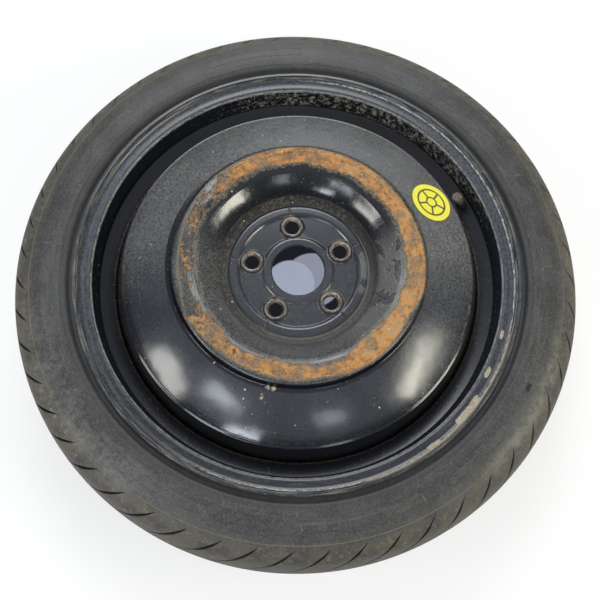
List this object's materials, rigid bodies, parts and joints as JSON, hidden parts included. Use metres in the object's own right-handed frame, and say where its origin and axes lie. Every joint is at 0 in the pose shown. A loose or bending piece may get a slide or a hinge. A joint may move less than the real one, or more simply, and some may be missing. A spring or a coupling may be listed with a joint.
{
  "type": "space saver spare wheel",
  "caption": "Narrow temporary spare tyre on a black pressed steel wheel with a domed disc, deep bolted hub, rubber valve and round yellow sticker.",
  "frame": {"origin": "the wheel's centre: on the spin axis, in the plane of the hub mounting face, which is the datum that a wheel's offset is measured from", "axes": "+Z along the spin axis to the outboard side, so the wheel lies flat on its inboard sidewall; +X and +Y span the wheel's plane, with the valve 26 degrees round from +X"},
  "size_m": [0.607, 0.607, 0.1406],
  "materials": {
    "tyre": "matt black rubber, dusty brown at the shoulder",
    "black_paint": "semi-gloss black paint over steel, chipped at the lip and rusted on the ridge",
    "weld": "painted weld bead",
    "valve_rubber": "dusty black rubber",
    "brass": "plain turned brass",
    "spring_steel": "bright drawn wire",
    "red_seal": "matt red seal",
    "black_seal": "matt black seal",
    "cap_plastic": "dusty black moulded plastic",
    "yellow_film": "yellow printed film"
  },
  "bodies": {
    "wheel": {"tyre": "tyre", "rim": "black_paint", "disc": "black_paint", "weld_beads": "weld", "valve_body": "valve_rubber", "valve_stem": "brass", "core_body": "brass", "core_gasket": "red_seal", "core_spring": "spring_steel", "yellow_sticker": "yellow_film"},
    "pin": {"core_pin": "brass", "core_cup_seal": "black_seal"},
    "seal": {"cap_seal": "black_seal"},
    "cap": {"valve_cap": "cap_plastic"}
  },
  "joints": [
    {"name": "core_pin_slide", "type": "slide", "parent": "wheel", "child": "pin", "axis": [-0.394, -0.1922, 0.8988], "range_m": [-0.0012, 0], "stiffness_N_per_m": 1200, "springref_m": 0.002, "deforming": ["core_spring"]},
    {"name": "cap_rise", "type": "slide", "parent": "wheel", "child": "seal", "axis": [-0.394, -0.1922, 0.8988], "range_m": [0, 0.00476]},
    {"name": "cap_turn", "type": "hinge", "parent": "seal", "child": "cap", "pos_m": [0.18583, 0.09064, -0.01385], "axis": [-0.394, -0.1922, 0.8988], "range_deg": [0, 2160]}
  ],
  "couplings": [
    {"joint": "cap_turn", "follows": "cap_rise", "rad_per_m": 7915.8}
  ]
}
